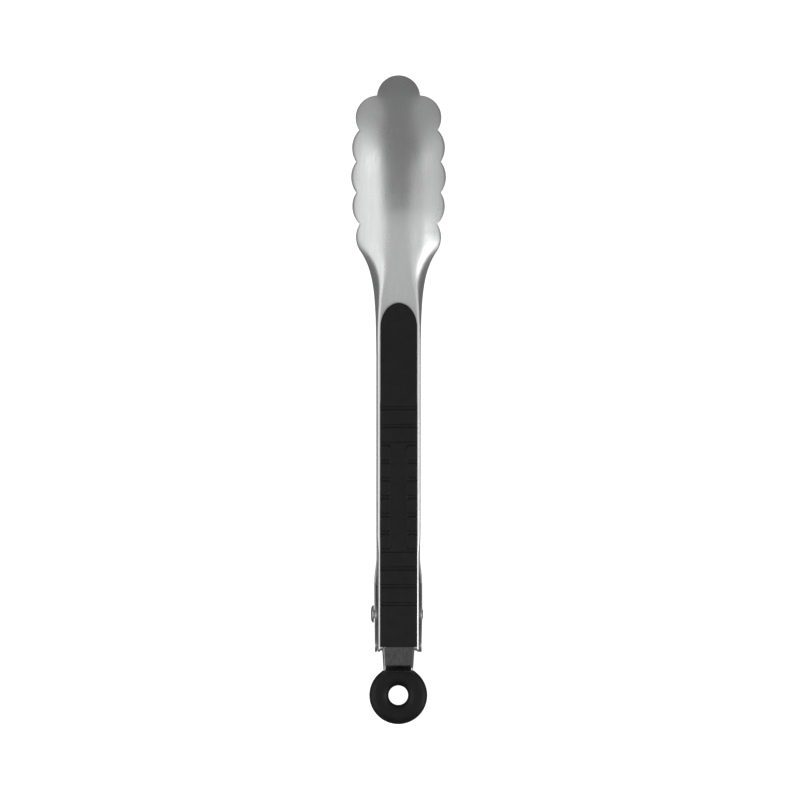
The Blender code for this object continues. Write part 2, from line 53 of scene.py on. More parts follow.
WELD = 0.0005 * MM                    # points closer than this become one
SHARP = 35.0                          # degrees, edges sharper than this stay crisp
LATHE_STEPS = 64
JOINTS = {joint["name"]: joint for joint in frame["joints"]}
PIVOT = Vector(JOINTS["arm_open"]["pos_m"])
SLIDE = Vector(JOINTS["lock_slide"]["axis"])
HALF_WEDGE = math.atan2(SLIDE.z, SLIDE.y)
LOWER = Matrix.Translation(PIVOT) @ Matrix.Rotation(math.pi, 4, 'Y')
UPPER = Matrix.Translation(PIVOT) @ Matrix.Rotation(2 * HALF_WEDGE, 4, 'X')
MIDDLE = Matrix.Translation(PIVOT) @ Matrix.Rotation(HALF_WEDGE, 4, 'X')
ACROSS = Matrix.Rotation(math.pi / 2, 4, 'Y')             # turns a lathe's axis onto X

# Arms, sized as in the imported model
SHEET = 0.9 * MM
WEB_TOP = 9.6 * MM
ARM_HALF = 10.3 * MM
FLANGE_EDGE = 0.8 * MM
BEND = 2.0 * MM
CROWN_LINE = [(140, 9.6), (160, 10.3), (178, 11.8), (192, 12.2),
              (210, 11.0), (228, 7.0), (242, 1.7), (253.15, -5.1)]     # mm along, mm up
PINCH_START = 132.0 * MM              # where the web begins to narrow ahead of the bowl
NECK_PINCH = 1.1 * MM
NECK_START = 146.0 * MM               # where the bend begins to open
BOWL_START = 155.0 * MM               # where the flange begins to fade into the bowl
BOWL_END = 180.0 * MM
NECK_END = 171.05 * MM                # where the outline turns from neck to scallops
NECK_HALF = 18.1 * MM
NECK_RATE = 11.0 * MM                 # the neck flares by exp(distance / rate)
BOWL_HALF = 23.0 * MM
BOWL_RATE = 7.0 * MM
BOWL_CORNER = 12.0 * MM
BOWL_SLOPE = 1.0
BOWL_SPREAD = 0.94
CUSPS = [(171.05, 18.1), (183.55, 18.1), (198.25, 19.7), (212.75, 19.8), (227.55, 18.4),
         (243.75, 10.1)]                                               # mm along, half width
BULGES = [1.8, 2.7, 2.45, 2.6, 5.3]                                    # mm
TIP_RADIUS = 10.13 * MM
TIP_END = 253.15 * MM
ARC_STEPS = 18
EAR_RADIUS = 6.8 * MM
EAR_FOOT = 13.5 * MM
TAIL_ROUND = 3.0 * MM
TAIL_CORNER = 0.8 * MM
WEB_END = -14.0 * MM
NOTCH_HALF = 7.4 * MM
NOTCH_REACH = 3.0 * MM                # how far the notch's cutter runs over and under the web
EARS = {
    "lower": {"tail": 18.0 * MM, "tail_half": 11.0 * MM, "half": 11.3 * MM,
              "joggle": (15.0 * MM, 27.0 * MM)},
    "upper": {"tail": 17.2 * MM, "tail_half": 9.8 * MM, "half": 9.8 * MM,
              "joggle": (28.0 * MM, 38.0 * MM)},
}
PIN_HOLE = 2.2 * MM
PIN_STATIONS = 4.4 * MM               # stations lie close together within this of the pin
RIM_ROUND = 0.10 * MM

# Grips
GRIP_HALF = 8.75 * MM
GRIP_FRONT = 146.75 * MM
GRIP_REAR = -14.65 * MM
GRIP_DOME = 11.3 * MM
GRIP_BACK = 12.5 * MM
GRIP_LOW = WEB_TOP + GAP
GRIP_EDGE = 0.45 * MM
PAD_NARROW = 0.12 * MM                # the thumb pad is this much narrower on each side
PAD_STEP = (99.0 * MM, 101.0 * MM)    # where it narrows
PAD_CROWN = 0.10 * MM
RIDGE_CROWN = 0.80 * MM
RIDGE_END = (93.0 * MM, 100.0 * MM)   # where one crown passes into the other
GROOVE_COUNT = 12
GROOVE_FIRST = 97.6 * MM
GROOVE_PITCH = 8.36 * MM
GROOVE_WIDTH = 1.7 * MM
GROOVE_DEPTH = 0.72 * MM
GROOVE_SLOPE = 0.24 * MM
PANEL_HALF = 4.25 * MM
PANEL_DROP = 0.36 * MM
PANEL_SLOPE = 0.25 * MM
PANEL_GROOVES = (2, 8)
LAND_CORNER = 0.8 * MM                # the lands' rounded corners beside the panel
CORE_HALF = 7.25 * MM
CORE_INSET = 1.5 * MM
CORE_TOP = 10.7 * MM
PEGS = [35.0 * MM, 70.0 * MM, 105.0 * MM, 133.0 * MM]
PEG_RADIUS = 2.2 * MM
PEG_HEAD_RADIUS = 3.6 * MM
PEG_HEAD = (7.4 * MM, 8.4 * MM)
PEG_HEAD_DOME = 0.15 * MM
PEG_ROOT = 0.4 * MM                   # how far a peg runs into the plate
PEG_ROUND = 0.35 * MM
PEG_HOLE_REACH = 2.0 * MM

# Pivot
SHAFT_RADIUS = 1.9 * MM
RIVET_SEAT = 11.5 * MM
RIVET_HEAD_RADIUS = 4.15 * MM
RIVET_HEAD_HEIGHT = 1.4 * MM
RIVET_HEAD_INSET = 0.05 * MM
RIVET_RIM = 0.32 * MM
RIVET_TAIL = [(0.0, 0.05), (1.1, 0.06), (1.5, 0.15), (2.5, 0.14),
              (2.85, 0.10), (3.0, 0.0)]                                # mm out, mm past the seat
RIVET_UNDER = [(0.1, 0.0), (0.0, 0.12)]                                # mm in, mm past the seat
RIVET_DIMPLE = [(1.1, 0.08), (0.7, 0.28), (0.0, 0.34)]                 # mm out, mm deep
DIMPLE_RADIUS = 1.5 * MM
SLEEVE_RADIUS = 3.0 * MM
SLEEVE_HALF = 8.6 * MM
WASHER_RADIUS = 6.0 * MM
WASHER = 0.62 * MM
TURNED_ROUND = 0.12 * MM
WIRE_RADIUS = 0.8 * MM
COIL_RADIUS = 4.2 * MM
COIL_PITCH = 1.7 * MM
COIL_FULL_TURNS = 4
COIL_STEPS = 220
COIL_LAP = math.radians(3.0)          # how far coil and leg run on past where they meet
LEG_RISE = math.radians(9.3)
LEG_REACH = 24.0 * MM
OPEN_HALF = math.radians(JOINTS["core_turn"]["range_deg"][1])

# Lock
TAB_SHEET = 0.8 * MM
TAB_HALF = 7.65 * MM
TAB_BEND = 3.2 * MM                   # the bend's width, wider than it is deep
TAB_BEND_SHARE = 0.8                  # most of the cheek's height that the bend may take
TAB_SLOPE_FRONT = -15.8 * MM          # where the web's slope to the ring begins
TAB_CHEEK_REAR = -7.0 * MM            # where the cheeks reach their full depth
TAB_SIDE_LINE = [(-26.4, 7.0), (-15.8, 7.65)]
TAB_FRONT = 6.35 * MM
TAB_REAR = -26.4 * MM
TAB_EMBED = 1.4 * MM
TAB_TOP_LINE = [(-26.4, 0.35), (-15.8, 4.3), (-9.0, 6.9), (7.0, 6.9)]
TAB_LOW_LINE = [(-26.4, -1.4), (-15.8, -4.3), (-7.0, -6.6), (4.0, -6.6), (7.0, -4.6)]
TAB_FIT = 0.02 * MM
TAB_FORK_TOP = 4.8 * MM
TAB_FORK_REAR = -13.0 * MM
TAB_ROUND = 0.12 * MM
TAB_WEB_START = -14.9 * MM
SLOT_HALF = 3.35 * MM
LOCK_TRAVEL = JOINTS["lock_slide"]["range_m"][1]
RING_Y = -38.25 * MM
RING_RADIUS = 13.65 * MM
RING_HOLE = 4.6 * MM
RING_HALF = 4.3 * MM
RING_POWER = 2.6
RING_FLAT = -26.85 * MM
RING_ROUND = 0.35 * MM
SHOULDER_HALF = 7.75 * MM
SHOULDER_REAR = 5.0 * MM
SHOULDER_DEEP = 0.9 * RING_HALF
SHOULDER_ROUND = 1.4 * MM

# Stage: each softbox is a name, bearing, angle from straight up, distance, size and brightness
SOFTBOXES = [
    ("left_softbox", 190.0, 57.0, 0.95, (1.20, 1.00), 1.10),
    ("right_softbox", -4.0, 66.0, 0.95, (0.95, 0.72), 0.65),
    ("right_fill", -6.0, 33.0, 1.20, (1.00, 0.42), 0.45),
    ("rear_right_softbox", -20.0, 68.0, 0.95, (0.50, 0.60), 1.9),
    ("overhead_softbox", -90.0, 12.5, 1.30, (2.00, 0.60), 0.50),
    ("front_softbox", 90.0, 38.0, 1.30, (1.50, 1.60), 0.10),
    ("front_left_softbox", 143.0, 66.0, 1.10, (0.70, 0.80), 0.36),
    ("front_right_softbox", 38.0, 66.0, 1.10, (0.70, 0.80), 0.30),
]
ROOM_GLOW = 0.17
FLOOR_GLOW = 0.85
FLOOR_BOUNCE = 0.38
FLOOR_HALF = 4.0
FLOOR_DROP = 0.3 * MM                 # the floor lies this far below the object
CAMERA_LEAN = 0.7
CAMERA_DISTANCE = 3.5
CAMERA_FIELD = 0.3755
CAMERA_TARGET = (0.7 * MM, 0.0, 20 * MM)


# ---- small tools ----

def blend(a, b, t):
    return a + (b - a) * t


def smooth_step(start, end, value):
    t = min(max((value - start) / (end - start), 0.0), 1.0)
    return t * t * (3.0 - 2.0 * t)


def smooth_line(points, at):
    """A smooth curve through (place, height) points in mm, held level beyond its ends."""
    places = [p * MM for p, _ in points]
    heights = [h * MM for _, h in points]
    if at <= places[0]:
        return heights[0]
    if at >= places[-1]:
        return heights[-1]
    i = max(k for k in range(len(places) - 1) if places[k] <= at)

    def slope(k):
        a, b = max(k - 1, 0), min(k + 1, len(places) - 1)
        return 0.0 if k == 0 else (heights[b] - heights[a]) / (places[b] - places[a])

    span = places[i + 1] - places[i]
    t = (at - places[i]) / span
    return ((2 * t**3 - 3 * t**2 + 1) * heights[i] + (t**3 - 2 * t**2 + t) * span * slope(i)
            + (3 * t**2 - 2 * t**3) * heights[i + 1] + (t**3 - t**2) * span * slope(i + 1))


def straight_line(points, at):
    """Straight runs through (place, height) points in mm."""
    places = [p * MM for p, _ in points]
    heights = [h * MM for _, h in points]
    at = min(max(at, places[0]), places[-1])
    i = max(k for k in range(len(places) - 1) if places[k] <= at)
    return blend(heights[i], heights[i + 1], (at - places[i]) / (places[i + 1] - places[i]))


def grid_bmesh(rows, wrap=False):
    """A surface of quads through rows of points; wrap joins each row's last point to its first."""
    bm = bmesh.new()
    lines = [[bm.verts.new(point) for point in row] for row in rows]
    count = len(rows[0])
    for line, following in zip(lines, lines[1:]):
        for i in range(count if wrap else count - 1):
            k = (i + 1) % count
            bm.faces.new((line[i], line[k], following[k], following[i]))
    return bm


def plain_mesh(name, bm):
    mesh = bpy.data.meshes.new(name)
    bm.to_mesh(mesh)
    bm.free()
    return mesh


def finish_mesh(name, bm, sharp=SHARP):
    """Weld a surface, turn its faces outward, and shade it smooth but for its sharp edges."""
    bmesh.ops.remove_doubles(bm, verts=bm.verts, dist=WELD)
    bmesh.ops.recalc_face_normals(bm, faces=bm.faces)
    mesh = plain_mesh(name, bm)
    mesh.shade_smooth()
    mesh.set_sharp_from_angle(angle=math.radians(sharp))
    return mesh


def lathe_bmesh(profile, steps=LATHE_STEPS, closed=False):
    """A profile of (radius, height) points turned about Z."""
    loop = profile + [profile[0]] if closed else profile
    rows = []
    for radius, height in loop:
        rows.append([(radius * math.cos(a), radius * math.sin(a), height)
                     for a in (2 * math.pi * i / steps for i in range(steps))])
    bm = grid_bmesh(rows, wrap=True)
    bmesh.ops.remove_doubles(bm, verts=bm.verts, dist=WELD)
    return bm


def cylinder_bmesh(radius, half_length, steps):
    """A cylinder along Z."""
    return lathe_bmesh([(0.0, half_length), (radius, half_length), (radius, -half_length),
                        (0.0, -half_length)], steps)


def rounded_profile(corners, radius, steps=4):
    """A (radius, height) profile whose inner corners are rounded."""
    points = [corners[0]]
    for before, corner, after in zip(corners, corners[1:], corners[2:]):
        a, c, b = Vector(before), Vector(corner), Vector(after)
        reach = min(radius, (a - c).length / 2, (b - c).length / 2)
        start = c + (a - c).normalized() * reach
        end = c + (b - c).normalized() * reach
        for i in range(steps + 1):
            t = i / steps
            points.append(tuple((1 - t)**2 * start + 2 * t * (1 - t) * c + t**2 * end))
    return points + [corners[-1]]


def box_bmesh(x0, x1, y0, y1, z0, z1):
    bm = bmesh.new()
    size = Vector((x1 - x0, y1 - y0, z1 - z0))
    middle = Vector((x1 + x0, y1 + y0, z1 + z0)) / 2
    for vert in bmesh.ops.create_cube(bm, size=1.0)["verts"]:
        vert.co = Vector(a * b for a, b in zip(vert.co, size)) + middle
    return bm


def new_object(name, mesh, matrix=Matrix.Identity(4)):
    obj = bpy.data.objects.new(name, mesh)
    bpy.context.scene.collection.objects.link(obj)
    obj.matrix_world = matrix
    return obj


def cut(obj, bm, matrix=Matrix.Identity(4), operation='DIFFERENCE'):
    """Cut a shape out of obj, in obj's own frame, or join it on."""
    tool = new_object("tool", finish_mesh("tool", bm), obj.matrix_world @ matrix)
    step = obj.modifiers.new("cut", 'BOOLEAN')
    step.operation = operation
    step.object = tool
    bake(obj)
    bpy.data.objects.remove(tool, do_unlink=True)


def bake(obj, sharp=SHARP):
    """Replace obj's mesh by what its modifiers make of it."""
    bpy.context.view_layer.update()
    seen = obj.evaluated_get(bpy.context.evaluated_depsgraph_get())
    mesh = bpy.data.meshes.new_from_object(seen)
    obj.modifiers.clear()
    obj.data = mesh
    mesh.shade_smooth()
    mesh.set_sharp_from_angle(angle=math.radians(sharp))


def thicken(obj, thickness):
    """Make a solid sheet of a surface, which stays its outer face."""
    shell = obj.modifiers.new("sheet", 'SOLIDIFY')
    shell.thickness = thickness
    shell.offset = -1.0
    shell.use_even_offset = True
    bake(obj)


def round_edges(obj, width, segments=2, angle=50.0):
    step = obj.modifiers.new("round", 'BEVEL')
    step.width = width
    step.segments = segments
    step.limit_method = 'ANGLE'
    step.angle_limit = math.radians(angle)
    bake(obj, 60.0)


def settle(obj, body, material, slot, *nodes):
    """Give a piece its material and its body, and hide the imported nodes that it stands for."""
    obj.data.transform(obj.matrix_world)
    obj.matrix_world = Matrix.Identity(4)
    obj.data.materials.clear()
    obj.data.materials.append(material)
    if nodes:
        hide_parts(*nodes)
    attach(obj, body)


# ---- materials ----

class Shader:
    """A Principled material with short calls for its nodes."""

    def __init__(self, name, colour, metallic, roughness, **constants):
        self.material = bpy.data.materials.new(name)
        self.material.use_nodes = True
        self.tree = self.material.node_tree
        self.main = self.tree.nodes["Principled BSDF"]
        self.main.inputs["Base Color"].default_value = (*colour, 1.0)
        self.main.inputs["Metallic"].default_value = metallic
        self.main.inputs["Roughness"].default_value = roughness
        for key, value in constants.items():
            self.main.inputs[key.replace("_", " ")].default_value = value
        self.place = self.tree.nodes.new("ShaderNodeTexCoord").outputs["Object"]

    def link(self, source, target):
        self.tree.links.new(source, target)

    def noise(self, scale, detail=3.0, roughness=0.55, stretch=(1.0, 1.0, 1.0), turn=0.0):
        mapping = self.tree.nodes.new("ShaderNodeMapping")
        mapping.inputs["Scale"].default_value = stretch
        mapping.inputs["Rotation"].default_value = (0.0, 0.0, turn)
        self.link(self.place, mapping.inputs["Vector"])
        made = self.tree.nodes.new("ShaderNodeTexNoise")
        made.inputs["Scale"].default_value = scale
        made.inputs["Detail"].default_value = detail
        made.inputs["Roughness"].default_value = roughness
        self.link(mapping.outputs["Vector"], made.inputs["Vector"])
        return made.outputs["Fac"]

    def spread(self, source, low, high, to_low, to_high):
        """Map a range of a value onto another, smoothly clamped."""
        made = self.tree.nodes.new("ShaderNodeMapRange")
        made.interpolation_type = 'SMOOTHSTEP'
        for key, value in (("From Min", low), ("From Max", high), ("To Min", to_low),
                           ("To Max", to_high)):
            made.inputs[key].default_value = value
        self.link(source, made.inputs["Value"])
        return made.outputs["Result"]

    def math(self, operation, a, b):
        made = self.tree.nodes.new("ShaderNodeMath")
        made.operation = operation
        for socket, value in zip(made.inputs, (a, b)):
            if isinstance(value, (int, float)):
                socket.default_value = value
            else:
                self.link(value, socket)
        return made.outputs["Value"]

    def mix(self, factor, a, b):
        made = self.tree.nodes.new("ShaderNodeMix")
        made.data_type = 'RGBA'
        self.link(factor, made.inputs["Factor"])
        for key, value in (("A", a), ("B", b)):
            socket = [s for s in made.inputs if s.name == key and s.type == 'RGBA'][0]
            if isinstance(value, tuple):
                socket.default_value = (*value, 1.0)
            else:
                self.link(value, socket)
        return [s for s in made.outputs if s.type == 'RGBA'][0]

    def bump(self, height, distance, strength=1.0, after=None):
        made = self.tree.nodes.new("ShaderNodeBump")
        made.inputs["Distance"].default_value = distance
        made.inputs["Strength"].default_value = strength
        self.link(height, made.inputs["Height"])
        if after:
            self.link(after, made.inputs["Normal"])
        return made.outputs["Normal"]

    def set(self, key, source):
        self.link(source, self.main.inputs[key])


def brushed_steel(name, light, dark, roughness, blotch=0.05, blotch_scale=70.0, grain=0.12):
    """Stainless sheet brushed along Y: hairlines, broad streaks, smudges and a few scratches."""
    shader = Shader(name, light, 1.0, roughness, Anisotropic=0.5)
    around = shader.tree.nodes.new("ShaderNodeTangent")
    around.direction_type = 'RADIAL'
    around.axis = 'Y'
    shader.set("Tangent", around.outputs["Tangent"])
    hair = shader.noise(1.0, 4.0, 0.65, (5200.0, 38.0, 5200.0))
    streak = shader.noise(1.0, 3.0, 0.55, (900.0, 9.0, 900.0))
    smudge = shader.noise(blotch_scale, 4.0, 0.6)
    scratch = shader.noise(1.0, 2.0, 0.5, (2600.0, 60.0, 2600.0), 0.12)
    shader.set("Base Color", shader.mix(shader.spread(streak, 0.3, 0.7, 0.0, 1.0), light, dark))
    rough = shader.math('ADD', shader.spread(hair, 0.3, 0.7, roughness - 0.02,
                                             roughness + 0.02),
                        shader.spread(smudge, 0.35, 0.7, -blotch, blotch))
    shader.set("Roughness", shader.math('ADD', rough,
                                        shader.spread(streak, 0.3, 0.7, -0.015, 0.015)))
    lines = shader.bump(hair, 0.000002, grain)
    shader.set("Normal", shader.bump(shader.spread(scratch, 0.70, 0.78, 0.0, 1.0), 0.000006,
                                     0.3, lines))
    return shader.material


def drawn_wire():
    """Spring wire: fine draw lines and a little darkening."""
    shader = Shader("spring_wire", (0.46, 0.46, 0.47), 1.0, 0.26)
    grain = shader.noise(2600.0, 3.0)
    tone = shader.noise(240.0, 4.0)
    shader.set("Base Color", shader.mix(shader.spread(tone, 0.35, 0.7, 0.0, 1.0),
                                        (0.50, 0.50, 0.51), (0.30, 0.29, 0.28)))
    shader.set("Roughness", shader.spread(tone, 0.3, 0.7, 0.20, 0.36))
    shader.set("Normal", shader.bump(grain, 0.00001, 0.4))
    return shader.material


def rubber(name, dark, light, roughness):
    """Moulded soft grip: a fine stipple, slow tone changes and dry handling marks."""
    shader = Shader(name, dark, 0.0, roughness, Specular_IOR_Level=0.27)
    stipple = shader.noise(5200.0, 2.0, 0.5)
    soft = shader.noise(190.0, 4.0, 0.6)
    wide = shader.noise(34.0, 3.0, 0.5)
    tone = shader.math('MULTIPLY', shader.spread(soft, 0.35, 0.72, 0.0, 1.0),
                       shader.spread(wide, 0.35, 0.65, 0.3, 1.0))
    shader.set("Base Color", shader.mix(tone, dark, light))
    shader.set("Roughness", shader.spread(soft, 0.3, 0.7, roughness - 0.05, roughness + 0.06))
    relief = shader.bump(soft, 0.00004, 0.25)
    shader.set("Normal", shader.bump(stipple, 0.00003, 0.55, relief))
    return shader.material


def nylon(name, dark, light, roughness, gloss=0.5):
    """Hard moulded plastic: an even spark-eroded grain and faint flow marks."""
    shader = Shader(name, dark, 0.0, roughness, Specular_IOR_Level=gloss)
    grain = shader.noise(3600.0, 3.0, 0.6)
    flow = shader.noise(1.0, 3.0, 0.5, (150.0, 60.0, 150.0), 0.5)
    shader.set("Base Color", shader.mix(shader.spread(flow, 0.3, 0.75, 0.0, 1.0), dark, light))
    shader.set("Roughness", shader.spread(flow, 0.3, 0.7, roughness - 0.05, roughness + 0.05))
    shader.set("Normal", shader.bump(grain, 0.00003, 0.45))
    return shader.material


STEEL = brushed_steel("arm_steel", (0.62, 0.625, 0.625), (0.60, 0.605, 0.605), 0.30, 0.02)
TAB_STEEL = brushed_steel("tab_steel", (0.44, 0.44, 0.44), (0.32, 0.32, 0.32), 0.18, 0.07,
                          blotch_scale=240.0, grain=0.1)
PIN_STEEL = brushed_steel("pin_steel", (0.44, 0.43, 0.40), (0.34, 0.33, 0.31), 0.28)
WIRE = drawn_wire()
SKIN_RUBBER = rubber("grip_skin_rubber", (0.0080, 0.0080, 0.0082), (0.0140, 0.0140, 0.0144), 0.56)
CORE_NYLON = nylon("core_black_nylon", (0.016, 0.016, 0.017), (0.026, 0.026, 0.027), 0.48)
RING_NYLON = nylon("ring_black_nylon", (0.0045, 0.0050, 0.0045), (0.0080, 0.0087, 0.0080), 0.50,
                   gloss=0.28)
WASHER_NYLON = nylon("washer_white_nylon", (0.66, 0.65, 0.61), (0.74, 0.73, 0.70), 0.42)


# ---- arms ----

def arc_between(start, end, bulge, steps):
    """Points of a circular arc that stands out of its chord by bulge, away from the middle."""
    start, end = Vector(start), Vector(end)
    half = (end - start).length / 2
    radius = (half * half + bulge * bulge) / (2 * bulge)
    along = (end - start).normalized()
    out = Vector((-along.y, along.x))
    centre = (start + end) / 2 + out * (bulge - radius)
    sweep = 2 * math.asin(half / radius)
    points = []
    for i in range(steps + 1):
        angle = sweep * (i / steps - 0.5)
        points.append(centre + radius * (along * math.sin(angle) + out * math.cos(angle)))
    return points


def head_outline():
    """Places along the arm with the half width there, over the scallops to the round tip."""
    cusps = [Vector((along, half)) * MM for along, half in CUSPS]
    outline = []
    for start, end, bulge in zip(cusps, cusps[1:], BULGES):
        outline += arc_between(start, end, bulge * MM, ARC_STEPS)[1:]
    middle = TIP_END - TIP_RADIUS
    first = math.asin((cusps[-1].x - middle) / TIP_RADIUS)
    for i in range(1, ARC_STEPS + 2):
        angle = blend(first, math.pi / 2, i / (ARC_STEPS + 1))
        outline.append(Vector((middle + TIP_RADIUS * math.sin(angle),
                               TIP_RADIUS * max(math.cos(angle), 0.0))))
    return [(point.x, point.y) for point in outline]


def web_half_width(y, ears):
    """Where the web turns down into the flange: ears, joggle and straight arm."""
    start, end = ears["joggle"]
    ear = blend(ears["tail_half"], ears["half"], smooth_step(-ears["tail"], start, y))
    return blend(ear, ARM_HALF, smooth_step(start, end, y))


def arm_half_width(y, ears):
    """Half width of the arm behind the scallops, over the flange as it leans out at the neck."""
    return web_half_width(y, ears) + (NECK_HALF - ARM_HALF) * math.exp((y - NECK_END) / NECK_RATE)


def bowl_half_width(y):
    """Half width of the surface that the scallops are cut from."""
    return BOWL_HALF - (BOWL_HALF - NECK_HALF) * math.exp((NECK_END - y) / BOWL_RATE)


def ear_edge(y, ears):
    """Height of the flange's free edge: a round ear below the pivot and a rounded tail."""
    if y > EAR_FOOT:
        return FLANGE_EDGE
    reach = math.hypot(EAR_FOOT, FLANGE_EDGE)
    touch = math.acos(EAR_RADIUS / reach) - math.atan2(FLANGE_EDGE, EAR_FOOT)
    touch_y, touch_z = EAR_RADIUS * math.cos(touch), -EAR_RADIUS * math.sin(touch)
    if abs(y) <= touch_y:
        return -math.sqrt(EAR_RADIUS**2 - y * y)
    if abs(y) <= EAR_FOOT:
        return blend(touch_z, FLANGE_EDGE, (abs(y) - touch_y) / (EAR_FOOT - touch_y))
    into = max(-y - (ears["tail"] - TAIL_ROUND), 0.0)
    return FLANGE_EDGE + TAIL_ROUND - math.sqrt(max(TAIL_ROUND**2 - into * into, 0.0))


def section_corner(y, half, ears):
    """The section's corner, before it is rounded, and its free edge."""
    crown = smooth_line(CROWN_LINE, y)
    bowl = smooth_step(BOWL_START, BOWL_END, y)
    edge_x = half if y <= NECK_END else bowl_half_width(y)
    pinched = web_half_width(y, ears) - NECK_PINCH * smooth_step(PINCH_START, BOWL_START, y)
    corner = Vector((blend(pinched, BOWL_CORNER, bowl), crown))
    drop = BOWL_SLOPE * (edge_x - BOWL_CORNER)
    return corner, Vector((edge_x, blend(ear_edge(y, ears), crown - drop, bowl)))


def section_point(y, half, ears, share):
    """Point at a share of the way from the crown to the edge of the section at y."""
    corner, edge = section_corner(y, half, ears)
    crown = corner.y
    spread = BOWL_SPREAD * smooth_step(NECK_START, NECK_END + BOWL_RATE, y)
    down = (edge - corner).length
    back = blend(BEND, corner.x, spread)
    ahead = blend(BEND, down, spread)
    run = share * (corner.x + down)
    if run < corner.x - back:
        return Vector((run, crown))
    if run > corner.x + ahead:
        return corner.lerp(edge, (run - corner.x) / down)
    t = (run - corner.x + back) / (back + ahead)
    start = Vector((corner.x - back, crown))
    end = corner.lerp(edge, ahead / down)
    return (1 - t)**2 * start + 2 * t * (1 - t) * corner + t**2 * end


def section_shares(y, half, ears):
    """Where the section's points lie: closer round the bend, and cut off at the half width."""
    last = 1.0
    if y > NECK_END:
        low, high = 0.0, 1.0
        for _ in range(40):
            last = (low + high) / 2
            if section_point(y, half, ears, last).x < half:
                low = last
            else:
                high = last
    spread = smooth_step(NECK_START, NECK_END, y)
    corner, edge = section_corner(y, half, ears)
    run = corner.x + (edge - corner).length
    bend_from = (corner.x - BEND) / run
    bend_to = (corner.x + BEND) / run
    tight = [bend_from * k / 4 for k in range(4)]
    tight += [blend(bend_from, bend_to, k / 10) for k in range(11)]
    tight += [blend(bend_to, 1.0, k / 4) for k in range(1, 5)]
    steps = len(tight) - 1
    return [last * blend(share, i / steps, spread) for i, share in enumerate(tight)]


def arm_stations(ears):
    """Places along the arm with its half width there."""
    tail = ears["tail"]
    places = [-tail + TAIL_ROUND * (1 - math.cos(math.radians(a))) for a in range(0, 91, 15)]
    places += [-EAR_FOOT, -10.5 * MM, -7.0 * MM]
    places += [PIN_STATIONS * math.sin(math.radians(a)) for a in range(-75, 90, 15)]
    places += [7.0 * MM, 10.5 * MM, EAR_FOOT]
    start, end = ears["joggle"]
    places += [blend(start, end, k / 10) for k in range(11)]
    places += [blend(end, NECK_START, k / 20) for k in range(1, 21)]
    places += [blend(NECK_START, NECK_END, k / 36) for k in range(1, 37)]
    return [(y, arm_half_width(y, ears)) for y in places] + head_outline()


def make_arm(side, matrix):
    """One pressed sheet: its outer surface, thickened, then notched, drilled and deburred."""
    ears = EARS[side]
    rows = []
    for y, half in arm_stations(ears):
        right = [section_point(y, half, ears, s) for s in section_shares(y, half, ears)]
        rows.append([(-p.x, y, p.y) for p in reversed(right[1:])] + [(p.x, y, p.y) for p in right])
    bm = grid_bmesh(rows)
    bmesh.ops.remove_doubles(bm, verts=bm.verts, dist=WELD)
    arm = new_object(side + "_arm_sheet", plain_mesh(side + "_arm_sheet", bm), matrix)
    thicken(arm, SHEET)
    cut(arm, box_bmesh(-NOTCH_HALF, NOTCH_HALF, WEB_END - FAR, WEB_END, WEB_TOP - NOTCH_REACH,
                       WEB_TOP + NOTCH_REACH))
    corner = Matrix.Translation((0.0, -ears["tail"] + TAIL_CORNER, WEB_TOP - TAIL_CORNER))
    cut(arm, box_bmesh(-FAR, FAR, -FAR, 0.0, -FAR, FAR),
        corner @ Matrix.Rotation(-math.pi / 4, 4, 'X'))
    cut(arm, cylinder_bmesh(PIN_HOLE, FAR, 48), ACROSS)
    for y in PEGS:
        cut(arm, cylinder_bmesh(PEG_RADIUS + GAP, PEG_HOLE_REACH, 40),
            Matrix.Translation((0.0, y, WEB_TOP - SHEET / 2)))
    round_edges(arm, RIM_ROUND)
    settle(arm, side + "_arm", STEEL, "brushed_steel", side + "_arm")


# ---- grips ----

def grip_half_width(y):
    """Half width of a grip: straight, a hair wider behind the thumb pad, and a domed front."""
    straight = GRIP_FRONT - GRIP_DOME
    if y <= straight:
        return GRIP_HALF - PAD_NARROW * smooth_step(*PAD_STEP, y)
    into = min((y - straight) / GRIP_DOME, 1.0)
    return (GRIP_HALF - PAD_NARROW) * math.sqrt(1.0 - into * into)


def grip_lands():
    """Raised lands between the grooves as (rear, front, inner half width)."""
    half = GROOVE_WIDTH / 2
    places = [GROOVE_FIRST - GROOVE_PITCH * n for n in range(GROOVE_COUNT)]
    lands = [(places[0] + half, 1.0, 0.0), (-1.0, places[-1] - half, 0.0)]
    for n, (front, rear) in enumerate(zip(places, places[1:])):
        inner = PANEL_HALF if PANEL_GROOVES[0] <= n < PANEL_GROOVES[1] else 0.0
        lands.append((rear + half, front - half, inner))
    return lands


def land_distance(x, y, land):
    """Distance out of a land with rounded inner corners; negative inside it."""
    rear, front, inner = land
    dy = abs(y - (rear + front) / 2) - (front - rear) / 2
    if not inner:
        return dy
    dx = inner - abs(x)
    into_x, into_y = dx + LAND_CORNER, dy + LAND_CORNER
    outside = math.hypot(max(into_x, 0.0), max(into_y, 0.0))
    return outside + min(max(into_x, into_y), 0.0) - LAND_CORNER


